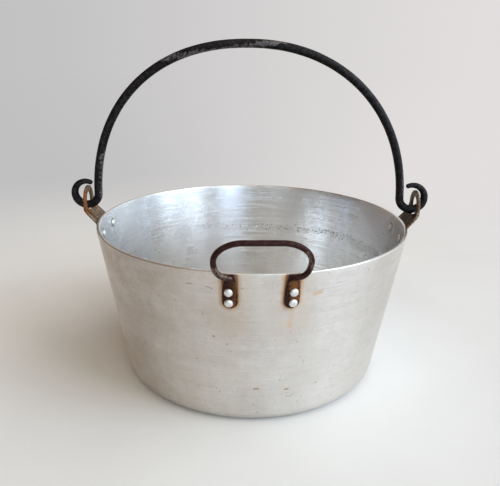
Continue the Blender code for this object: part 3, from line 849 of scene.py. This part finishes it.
def pan_finish():
    """Old aluminium: scoured round, dulled and stained outside, brighter and pitted inside. Some shade is
    painted in: on the left and low down outside, and round the rivets' heads inside.
    """
    material, tree, shader, place = new_material("pan_aluminium")
    inner = add(tree, "ShaderNodeAttribute", attribute_name="inner").outputs["Fac"]
    outer = less(tree, 1.0, inner)
    parts = add(tree, "ShaderNodeSeparateXYZ", {0: place})
    x, y, z = parts.outputs
    brushed = shared(tree, "brushed", place, along=26.0, across=2300.0)
    lines, bands = brushed["Lines"], brushed["Bands"]

    # Body colour
    cloud = noise(tree, place, 14.0, 5.0, 0.6, 0.4)
    smear = noise(tree, ragged(tree, place, 40.0, 0.02), 46.0, 6.0, 0.66)
    outside = blend(tree, fade(tree, cloud, 0.35, 0.68), (0.80, 0.775, 0.74), (0.70, 0.665, 0.62))
    # Brown on the left and upper left outside: partly staining, partly painted shade and a painted reflection
    # of the shaded floor, on the side away from the lamps
    left_side = fade(tree, x, 0.06, -0.13)
    upper = times(tree, fade(tree, x, -0.05, -0.13), fade(tree, z, 0.07, 0.15))
    stain_and_painted_shade = scaled(tree, left_side, 0.30, scaled(tree, upper, 0.38, 0.10))
    stain_and_painted_shade = times(tree, stain_and_painted_shade, fade(tree, smear, 0.36, 0.62, 0.30, 1.0))
    outside = blend(tree, stain_and_painted_shade, outside, (0.52, 0.42, 0.33))
    inside = blend(tree, fade(tree, cloud, 0.3, 0.7), (0.80, 0.80, 0.80), (0.70, 0.695, 0.69))
    colour = blend(tree, inner, outside, inside)
    colour = tint(tree, colour, fade(tree, bands, 0.42, 0.62), 0.13, (0.58, 0.55, 0.52))
    colour = tint(tree, colour, fade(tree, lines, 0.54, 0.72), 0.20, (0.42, 0.39, 0.36))

    mottle = fade(tree, noise(tree, place, 150.0, 6.0, 0.72), 0.50, 0.66)
    colour = tint(tree, colour, times(tree, mottle, outer), 0.16, (0.50, 0.44, 0.38))

    # Scratches and knocks
    scored = shared(tree, "scratches", place, scale=46.0, amount=0.95)["Mask"]
    deep = shared(tree, "scratches", place, scale=17.0, amount=0.72)["Mask"]
    specks = shared(tree, "pits", place, scale=300.0, cover=0.06)["Mask"]
    high_left = times(tree, fade(tree, x, -0.03, -0.12), fade(tree, z, 0.09, 0.135))
    cover = scaled(tree, high_left, 0.34, scaled(tree, left_side, 0.05, 0.03))
    fine_specks = shared(tree, "pits", place, scale=480.0, cover=times(tree, cover, outer))["Mask"]
    colour = tint(tree, colour, scored, 0.20, (0.93, 0.93, 0.93))
    colour = tint(tree, colour, deep, 0.35, (0.30, 0.25, 0.21))
    specks = times(tree, specks, scaled(tree, outer, 0.35, 0.1))
    specks = most(tree, specks, times(tree, fine_specks, 0.42))
    colour = blend(tree, specks, colour, (0.26, 0.19, 0.13))

    # Ring of corrosion where the level of the boil stood
    swing = times(tree, less(tree, noise(tree, place, 16.0, 2.0), 0.5), 0.014)
    level = calc(tree, "ABSOLUTE", less(tree, calc(tree, "ADD", z, swing), 0.1035))
    ring = fade(tree, level, 0.0008, 0.0060, 1.0, 0.0)
    flat = vector_calc(tree, "NORMALIZE", add(tree, "ShaderNodeCombineXYZ", {0: x, 1: y}))
    facing = vector_calc(tree, "DOT_PRODUCT", flat, (0.50, 0.866, 0.0)).outputs["Value"]
    gathered = fade(tree, facing, 0.35, 0.85, 0.16, 1.0)
    ring = times(tree, times(tree, ring, gathered), inner)
    holes = shared(tree, "pits", place, scale=340.0, cover=times(tree, ring, 1.7))["Mask"]
    more_holes = shared(tree, "pits", place, scale=560.0, cover=times(tree, ring, 1.4))["Mask"]
    holes = most(tree, holes, more_holes)
    colour = tint(tree, colour, ring, 0.10, (0.40, 0.38, 0.36))
    colour = tint(tree, colour, holes, 0.92, (0.045, 0.042, 0.040))

    # Stained floor of the pan
    low = times(tree, fade(tree, z, 0.05, 0.004), inner)
    stained = times(tree, low, fade(tree, smear, 0.42, 0.64))
    colour = tint(tree, colour, stained, 0.28, (0.40, 0.36, 0.33))
    floor_pits = shared(tree, "pits", place, scale=330.0, cover=times(tree, low, 0.2))["Mask"]
    colour = tint(tree, colour, floor_pits, 0.6, (0.16, 0.14, 0.12))

    # Rust washed off the iron pieces, outside only
    shaken = ragged(tree, place, 260.0, 0.0034)
    near_feet = halo(tree, shaken, foot_lines(-0.0262, -0.0040), 0.0063, 0.0044)
    tight = halo(tree, ragged(tree, place, 500.0, 0.0012), foot_lines(-0.0262, -0.0040), 0.0061, 0.0013)
    drip = halo(tree, shaken, foot_lines(-0.0520, -0.0320, 0.0010)[1:], 0.0004, 0.0032)
    wash = halo(tree, ragged(tree, place, 90.0, 0.012), foot_lines(-0.045, 0.000), 0.004, 0.026)
    ears = [(wall_point(side, -0.024), wall_point(side, -0.003)) for side in (-0.5 * math.pi, 0.5 * math.pi)]
    near_ears = halo(tree, ragged(tree, place, 120.0, 0.008), ears, 0.022, 0.016)
    washed = times(tree, most(tree, times(tree, wash, 0.20), times(tree, near_ears, 0.35)), outer)
    colour = blend(tree, washed, colour, (0.66, 0.47, 0.31))
    halos = most(tree, near_feet, times(tree, drip, 0.5))
    halos = times(tree, times(tree, halos, fade(tree, smear, 0.25, 0.60, 0.35, 0.85)), outer)
    colour = blend(tree, halos, colour, (0.60, 0.32, 0.10))
    colour = tint(tree, colour, times(tree, tight, outer), 0.75, (0.16, 0.065, 0.022))

    # Single marks outside: rust ticks, a blot and scratches
    ticks = []
    for turn, up, length in ((0.040, -0.1185, 0.0022), (0.236, -0.1210, 0.0016), (-0.21, -0.063, 0.0006)):
        ticks.append((wall_point(turn - length / RIM_RADIUS, up), wall_point(turn + length / RIM_RADIUS, up)))
    tick = times(tree, halo(tree, place, ticks, 0.0004, 0.0007), outer)
    colour = tint(tree, colour, tick, 0.85, (0.42, 0.21, 0.07))
    blot = (wall_point(0.372, -0.0200), wall_point(0.338, -0.0215))
    blot = halo(tree, ragged(tree, place, 400.0, 0.002), [blot], 0.0004, 0.0030)
    colour = tint(tree, colour, times(tree, blot, outer), 0.7, (0.66, 0.50, 0.30))
    cuts = [
        (wall_point(-0.96, -0.0190), wall_point(-0.915, -0.0270)),
        (wall_point(0.235, -0.129), wall_point(0.262, -0.1305)),
        (wall_point(0.262, -0.1305), wall_point(0.292, -0.1275)),
        (wall_point(-0.235, -0.0140), wall_point(-0.200, -0.0155)),
        (wall_point(-0.340, -0.0135), wall_point(-0.310, -0.0128)),
    ]
    cut = times(tree, halo(tree, place, cuts, 0.00012, 0.0005), outer)
    colour = tint(tree, colour, cut, 0.6, (0.20, 0.15, 0.12))

    # Painted shade: a dark ring round the rivets' inside heads
    frames = ear_rivet_frames() + helper_rivet_frames()
    heads = [tuple(rivet @ Vector((0.0, 0.0, -WALL))) for rivet in frames]
    rivet_head_shade = times(tree, halo(tree, place, [(head, head) for head in heads], 0.0044, 0.0012), inner)
    colour = tint(tree, colour, rivet_head_shade, 0.75, (0.10, 0.09, 0.085))

    # Rubbed rim, and painted shade low on the outside, near the floor
    rim = fade(tree, z, PAN_HEIGHT - 0.0011, PAN_HEIGHT - 0.0004)
    colour = tint(tree, colour, rim, 0.55, (0.86, 0.86, 0.86))
    # Painted shade: the outside darkens towards the floor
    low_painted_shade = times(tree, fade(tree, z, 0.016, 0.002), outer)
    colour = tint(tree, colour, low_painted_shade, 0.28, (0.34, 0.31, 0.28))
    wire(tree, colour, shader.inputs["Base Color"])

    rough = scaled(tree, outer, 0.13, 0.235)
    rough = scaled(tree, less(tree, cloud, 0.5), 0.22, rough)
    rough = scaled(tree, most(tree, halos, holes), 0.35, rough)
    rough = scaled(tree, lines, 0.10, rough)
    wire(tree, scaled(tree, rim, -0.08, rough, clamp=True), shader.inputs["Roughness"])
    rusty = most(tree, halos, times(tree, times(tree, tight, outer), 0.8))
    wire(tree, less(tree, 1.0, times(tree, rusty, 0.8), clamp=True), shader.inputs["Metallic"])

    dents = noise(tree, place, 30.0, 2.0)
    normal = bump(tree, dents, 0.0009, 0.5)
    normal = bump(tree, bands, 0.00016, 0.6, normal)
    normal = bump(tree, lines, 0.00005, 0.8, normal)
    marks = most(tree, most(tree, scored, cut), times(tree, holes, 1.0))
    marks = most(tree, marks, most(tree, deep, specks))
    normal = bump(tree, less(tree, 1.0, marks), 0.00012, 0.7, normal)
    wire(tree, normal, shader.inputs["Normal"])
    shader.inputs["Anisotropic"].default_value = 0.80
    shader.inputs["Anisotropic Rotation"].default_value = 0.25
    round_axis = add(tree, "ShaderNodeTangent", direction_type="RADIAL", axis="Z")
    wire(tree, round_axis, shader.inputs["Tangent"])
    return material


def rivet_finish():
    """Bright hammered aluminium with grime round it."""
    material, tree, shader, place = new_material("rivet_aluminium")
    cloud = noise(tree, place, 420.0, 4.0, 0.6)
    dust = noise(tree, place, 1100.0, 4.0, 0.7)
    colour = blend(tree, fade(tree, cloud, 0.38, 0.70), (0.88, 0.88, 0.87), (0.66, 0.62, 0.57))
    scored = shared(tree, "scratches", place, scale=240.0, amount=0.9)["Mask"]
    pits = shared(tree, "pits", place, scale=1500.0, cover=0.25)["Mask"]
    wear = shared(tree, "wear", place, scale=500.0, amount=0.6)["Mask"]
    colour = tint(tree, colour, wear, 0.4, (0.93, 0.93, 0.92))
    colour = tint(tree, colour, scored, 0.3, (0.45, 0.42, 0.38))
    colour = tint(tree, colour, pits, 0.6, (0.16, 0.10, 0.06))
    colour = tint(tree, colour, fade(tree, dust, 0.58, 0.72), 0.4, (0.40, 0.27, 0.17))
    wire(tree, colour, shader.inputs["Base Color"])
    shader.inputs["Metallic"].default_value = 0.80
    wire(tree, scaled(tree, cloud, 0.30, 0.26), shader.inputs["Roughness"])
    normal = bump(tree, cloud, 0.00035, 0.6)
    worn = less(tree, 1.0, most(tree, scored, pits))
    wire(tree, bump(tree, worn, 0.00006, 0.6, normal), shader.inputs["Normal"])
    return material


def iron_finish(
        name, dark, light, cover, wear_amount, share, gloss, rubbed=(), rusty=(), dark_and_shaded_marks=(), scale_size=1.0):
    """Blackened iron: dark scale, rubbed grey places that partly stand for painted highlights, freckles of
    rust and dark marks, some of them painted shade.

    The rubbed, the rusty and the dark places are marks of their own, as (start, end, radius, softness).
    """
    material, tree, shader, place = new_material(name)
    scale = noise(tree, place, 240.0 * scale_size, 6.0, 0.62, 0.3)
    fine = noise(tree, place, 1300.0, 5.0, 0.65)
    half = tuple(0.88 * a + 0.12 * b for a, b in zip(dark, light))
    colour = blend(tree, fade(tree, scale, 0.38, 0.72), dark, half)
    level = wear_amount
    shaken = ragged(tree, place, 300.0, 0.003)
    # Rubbed places raise the wear there; laid where highlights fall, they are partly painted highlight
    for mark in rubbed:
        mask = spot_mask(tree, shaken, *mark)
        level = scaled(tree, mask, 0.75, level)
    wear = shared(tree, "wear", place, scale=330.0 * scale_size, amount=level)["Mask"]
    wear = times(tree, wear, fade(tree, fine, 0.36, 0.66, 0.25, 1.0))
    colour = blend(tree, wear, colour, light)
    scored = shared(tree, "scratches", place, scale=150.0, amount=0.75)["Mask"]
    colour = tint(tree, colour, scored, 0.35, light)
    spread = cover
    for mark in rusty:
        mask = spot_mask(tree, shaken, *mark)
        spread = scaled(tree, mask, 0.70, spread)
    rust = shared(tree, "rust", place, scale=260.0 * scale_size, cover=spread)
    rusted = times(tree, rust["Mask"], share)
    colour = blend(tree, rusted, colour, rust["Colour"])
    # Dark marks: on the ears they are painted shade; on the helper handle's feet they darken the edges
    for mark in dark_and_shaded_marks:
        mask = spot_mask(tree, shaken, *mark)
        colour = tint(tree, colour, mask, 0.88, (0.030, 0.011, 0.005))
    pits = shared(tree, "pits", place, scale=620.0, cover=0.25)["Mask"]
    colour = tint(tree, colour, pits, 0.7, (0.010, 0.007, 0.006))
    wire(tree, colour, shader.inputs["Base Color"])
    metal = less(tree, 0.55, times(tree, rusted, 0.5))
    wire(tree, metal, shader.inputs["Metallic"])
    shader.inputs["Specular IOR Level"].default_value = 0.20
    rough = scaled(tree, scale, 0.25, gloss)
    rough = scaled(tree, wear, -0.08, rough)
    wire(tree, scaled(tree, rusted, 0.35, rough, clamp=True), shader.inputs["Roughness"])
    normal = bump(tree, scale, 0.0004, 0.5)
    normal = bump(tree, fine, 0.00008, 0.6, normal)
    normal = bump(tree, times(tree, rust["Height"], rusted), 0.00030, 0.7, normal)
    worn = less(tree, 1.0, most(tree, pits, times(tree, scored, 0.5)))
    wire(tree, bump(tree, worn, 0.00014, 0.7, normal), shader.inputs["Normal"])
    return material


def pale(tree, sideways):
    """The studio's pale backdrop, a little lighter on the window side."""
    return blend(tree, fade(tree, sideways, -0.55, 0.50), (0.53, 0.525, 0.53), (0.76, 0.735, 0.73))


def floor_finish():
    """Plain pale painted board; further out it glows with the backdrop colour, painted light that is lighter
    on the window side.
    """
    material, tree, shader, place = new_material("pale_board")
    grain = noise(tree, place, 5.0, 5.0, 0.6)
    fine = noise(tree, place, 90.0, 4.0, 0.6)
    parts = add(tree, "ShaderNodeSeparateXYZ", {0: place})
    flat = add(tree, "ShaderNodeCombineXYZ", {0: parts.outputs[0], 1: parts.outputs[1]})
    reach = vector_calc(tree, "LENGTH", flat).outputs["Value"]
    sweep = fade(tree, reach, 0.30, 1.10)
    colour = blend(tree, fade(tree, grain, 0.3, 0.7), (0.74, 0.735, 0.73), (0.71, 0.705, 0.70))
    colour = blend(tree, sweep, colour, (0.0, 0.0, 0.0))
    wire(tree, colour, shader.inputs["Base Color"])
    # Further out the board glows with the backdrop colour: painted light, lighter on the window side
    backdrop = pale(tree, calc(tree, "DIVIDE", parts.outputs[0], most(tree, reach, 0.1)))
    wire(tree, blend(tree, sweep, (0.0, 0.0, 0.0), backdrop), shader.inputs["Emission Color"])
    shader.inputs["Emission Strength"].default_value = 1.0
    wire(tree, scaled(tree, fine, 0.15, 0.55), shader.inputs["Roughness"])
    shader.inputs["Specular IOR Level"].default_value = 0.0
    wire(tree, bump(tree, fine, 0.0004, 0.25), shader.inputs["Normal"])
    return material


# ---------------------------------------------------------------- stage, light and camera

def make_floor():
    """A wide plain floor under the pan."""
    bm = bmesh.new()
    bmesh.ops.create_circle(bm, cap_ends=True, segments=96, radius=FLOOR_RADIUS)
    bmesh.ops.translate(bm, verts=bm.verts, vec=(0.0, 0.0, FLOOR_Z))
    mesh = bpy.data.meshes.new("floor")
    bm.to_mesh(mesh)
    bm.free()
    mesh.materials.append(floor_finish())
    link_mesh("floor", mesh)


def make_camera():
    """The camera, tipped down and turned a little on its own axis."""
    ahead = Vector((0.0, math.cos(CAMERA_PITCH), -math.sin(CAMERA_PITCH)))
    across = Vector((1.0, 0.0, 0.0))
    above = Vector((0.0, math.sin(CAMERA_PITCH), math.cos(CAMERA_PITCH)))
    right = across * math.cos(CAMERA_ROLL) + above * math.sin(CAMERA_ROLL)
    up = above * math.cos(CAMERA_ROLL) - across * math.sin(CAMERA_ROLL)
    data = bpy.data.cameras.new("camera")
    data.lens = CAMERA_LENS
    data.sensor_width = 36.0
    data.clip_start = 0.01
    camera = bpy.data.objects.new("camera", data)
    placed = Matrix((right, up, -ahead)).transposed().to_4x4()
    placed.translation = CAMERA_PLACE
    camera.matrix_world = placed
    bpy.context.scene.collection.objects.link(camera)
    bpy.context.scene.camera = camera


def make_lamp(name, place, size, power, colour):
    """A soft rectangular lamp that faces the pan."""
    data = bpy.data.lights.new(name, "AREA")
    data.shape = "RECTANGLE"
    data.size, data.size_y = size
    data.energy = power
    data.color = colour
    lamp = bpy.data.objects.new(name, data)
    lamp.location = place
    lamp.rotation_euler = (Vector(LAMP_TARGET) - Vector(place)).to_track_quat("-Z", "Y").to_euler()
    bpy.context.scene.collection.objects.link(lamp)


def make_world(low, high):
    """A soft room. Its colours stand round the horizon, and again overhead, starting at the front."""
    world = bpy.data.worlds.new("room")
    bpy.context.scene.world = world
    world.use_nodes = True
    tree = world.node_tree
    direction = add(tree, "ShaderNodeTexCoord").outputs["Generated"]
    parts = add(tree, "ShaderNodeSeparateXYZ", {0: direction})
    x, y, z = parts.outputs
    flat = vector_calc(tree, "NORMALIZE", add(tree, "ShaderNodeCombineXYZ", {0: x, 1: y}))
    above = fade(tree, z, 0.15, 0.60)
    below = less(tree, 1.0, above)
    total = (0.0, 0.0, 0.0)
    for colours, band in ((low, below), (high, above)):
        for number, colour in enumerate(colours):
            turn = 2.0 * math.pi * number / len(colours)
            heading = (math.sin(turn), -math.cos(turn), 0.0)
            facing = vector_calc(tree, "DOT_PRODUCT", flat, heading).outputs["Value"]
            swing = calc(tree, "ARCCOSINE", calc(tree, "MINIMUM", facing, 1.0))
            swing = calc(tree, "MINIMUM", times(tree, swing, 0.25 * len(colours)), 0.5 * math.pi)
            weight = times(tree, calc(tree, "POWER", calc(tree, "COSINE", swing), 2.0), band)
            total = vector_calc(tree, "MULTIPLY_ADD", weight, colour, total).outputs[0]
    seen = add(tree, "ShaderNodeLightPath").outputs["Is Camera Ray"]
    sideways = add(tree, "ShaderNodeSeparateXYZ", {0: flat}).outputs[0]
    wire(tree, blend(tree, seen, total, pale(tree, sideways)), tree.nodes["Background"].inputs["Color"])


# Room colours round the horizon from the front, turning to the right, and overhead
ROOM_LOW = [
    (0.28, 0.31, 0.40),
    (0.50, 0.62, 0.74),
    (0.38, 0.48, 0.60),
    (0.35, 0.48, 0.62),
    (0.86, 1.08, 1.28),
    (0.84, 0.98, 1.10),
    (0.90, 0.92, 0.95),
    (0.95, 0.95, 0.95),
    (0.78, 0.78, 0.77),
    (0.62, 0.58, 0.54),
    (0.56, 0.42, 0.31),
    (0.18, 0.12, 0.08),
    (0.06, 0.05, 0.05),
    (0.05, 0.04, 0.04),
    (0.06, 0.05, 0.06),
    (0.50, 0.60, 0.76),
]
ROOM_HIGH = [(1.15, 1.05, 0.74), (1.85, 1.88, 1.90), (0.26, 0.19, 0.16), (0.26, 0.14, 0.08)]

make_camera()
make_world(ROOM_LOW, ROOM_HIGH)
make_lamp("window", (3.60, -1.60, 1.65), (3.0, 2.3), 92.0, (0.70, 0.84, 1.0))
make_lamp("skylight", (2.30, -1.20, 2.55), (1.7, 1.3), 17.0, (0.72, 0.86, 1.0))
make_lamp("front_window", (1.30, -3.90, 1.35), (1.5, 2.5), 32.0, (0.52, 0.70, 1.0))
make_floor()

# ---------------------------------------------------------------- the object

LATHE = lathe_tree()
ROD = rod_tree()
RIVETS = rivet_tree()


def grip_point(sideways, up, out=0.0034):
    """A point on the front of the helper handle."""
    return tuple(wall_frame(HELPER_TURN, 0.0) @ Vector((sideways, up, out)))


# Rubbed wear on the bail, laid where highlights fall on the crown's upper edge and the legs: partly painted
# highlight
BAIL_RUBS_AND_HIGHLIGHTS = [
    ((-0.1560, -0.002, 0.178), (-0.1530, -0.002, 0.222), 0.0012, 0.0060),
    ((-0.0900, -0.003, 0.316), (0.0300, -0.003, 0.334), 0.0010, 0.0050),
    ((0.1520, -0.003, 0.240), (0.1570, -0.003, 0.185), 0.0004, 0.0026),
]
# Rubbed wear on the helper handle's bends, laid where grey highlights fall: partly painted highlight
GRIP_RUBS_AND_HIGHLIGHTS = [
    (grip_point(-0.0372, 0.0050), grip_point(-0.0250, -0.0045), 0.0015, 0.0050),
    (grip_point(0.0330, 0.0200), grip_point(0.0385, 0.0080), 0.0008, 0.0045),
]
GRIP_RUST = [
    (grip_point(0.0262, -0.0090), grip_point(0.0285, -0.0240), 0.0030, 0.0042),
    (grip_point(-0.0240, -0.0090), grip_point(-0.0240, -0.0290), 0.0020, 0.0050),
]
EAR_RUST = [
    ((-0.1715, -0.0120, 0.1640), (-0.1735, -0.0120, 0.1830), 0.0030, 0.0050),
]
# Dark lines along the edges of the helper handle's feet, and a dark patch high on the left foot
GRIP_FOOT_EDGE_DARKENING = [
    (grip_point(edge, -0.0060), grip_point(edge, -0.0300), 0.0006, 0.0022)
    for edge in (-0.0200, 0.0200, -0.0315, 0.0315)
] + [(grip_point(-0.0255, -0.0200), grip_point(-0.0255, -0.0060), 0.0030, 0.0030)]
# Painted shade on the ears: the right ear's tab, which faces away from the lamps, and a thin shadow line
# where the left ear meets the rim
EAR_PAINTED_SHADE = [
    ((0.1620, -0.0080, 0.1570), (0.1690, 0.0060, 0.1670), 0.0085, 0.0040),
    ((-0.1600, -0.0120, 0.1560), (-0.1700, -0.0125, 0.1640), 0.0012, 0.0025),
]

pan_metal = pan_finish()
rivet_metal = rivet_finish()
bail_metal = iron_finish(
    "bail_iron", (0.0070, 0.0060, 0.0070), (0.19, 0.175, 0.175), 0.10, 0.20, 0.45, 0.36, BAIL_RUBS_AND_HIGHLIGHTS)
helper_metal = iron_finish(
    "helper_iron", (0.026, 0.0060, 0.0055), (0.24, 0.17, 0.145), 0.22, 0.20, 0.80, 0.34,
    GRIP_RUBS_AND_HIGHLIGHTS, GRIP_RUST, GRIP_FOOT_EDGE_DARKENING, 1.5)
ear_metal = iron_finish(
    "ear_iron", (0.085, 0.060, 0.036), (0.38, 0.32, 0.23), 0.50, 0.74, 0.95, 0.38,
    (), EAR_RUST, EAR_PAINTED_SHADE, 1.2)

pan = make_pan(LATHE, pan_metal)
bail = make_bail(ROD, bail_metal)
helper = make_helper(ROD, helper_metal)
ear_left = make_ear("ear_left", "ear_plate_left", ear_metal)
ear_right = make_ear("ear_right", "ear_plate_right", ear_metal)
ear_rivets = make_rivets(
    "ear_rivets", (LATHE, RIVETS), ear_rivet_frames(), EAR_THICKNESS,
    (EAR_OUTER_HEAD_RADIUS, EAR_OUTER_HEAD_HEIGHT), (HEAD_RADIUS, EAR_INNER_HEAD_HEIGHT), rivet_metal, 3)
helper_rivets = make_rivets(
    "helper_rivets", (LATHE, RIVETS), helper_rivet_frames(), FOOT_THICKNESS,
    (HEAD_RADIUS, HEAD_HEIGHT), (TAIL_RADIUS, TAIL_HEIGHT), rivet_metal, 8)

EAR_RIVET_NODES = [f"ear_{side}_rivet_{row}" for side in ("left", "right") for row in ("front", "rear")]
HELPER_RIVET_NODES = [
    f"helper_handle_rivet_{side}_{row}" for side in ("left", "right") for row in ("upper", "lower")]
for piece, body, slot, nodes in (
    (pan, "vessel", "pan_aluminium", ["pan"]),
    (bail, "bail", "bail_steel", ["bail"]),
    (helper, "vessel", "helper_steel", ["helper_handle"]),
    (ear_left, "vessel", "ear_steel", ["ear_left"]),
    (ear_right, "vessel", "ear_steel", ["ear_right"]),
    (ear_rivets, "vessel", "rivet_aluminium", EAR_RIVET_NODES),
    (helper_rivets, "vessel", "rivet_aluminium", HELPER_RIVET_NODES),
):
    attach(piece, body)
    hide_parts(*nodes)

bpy.context.scene.view_settings.view_transform = "Standard"
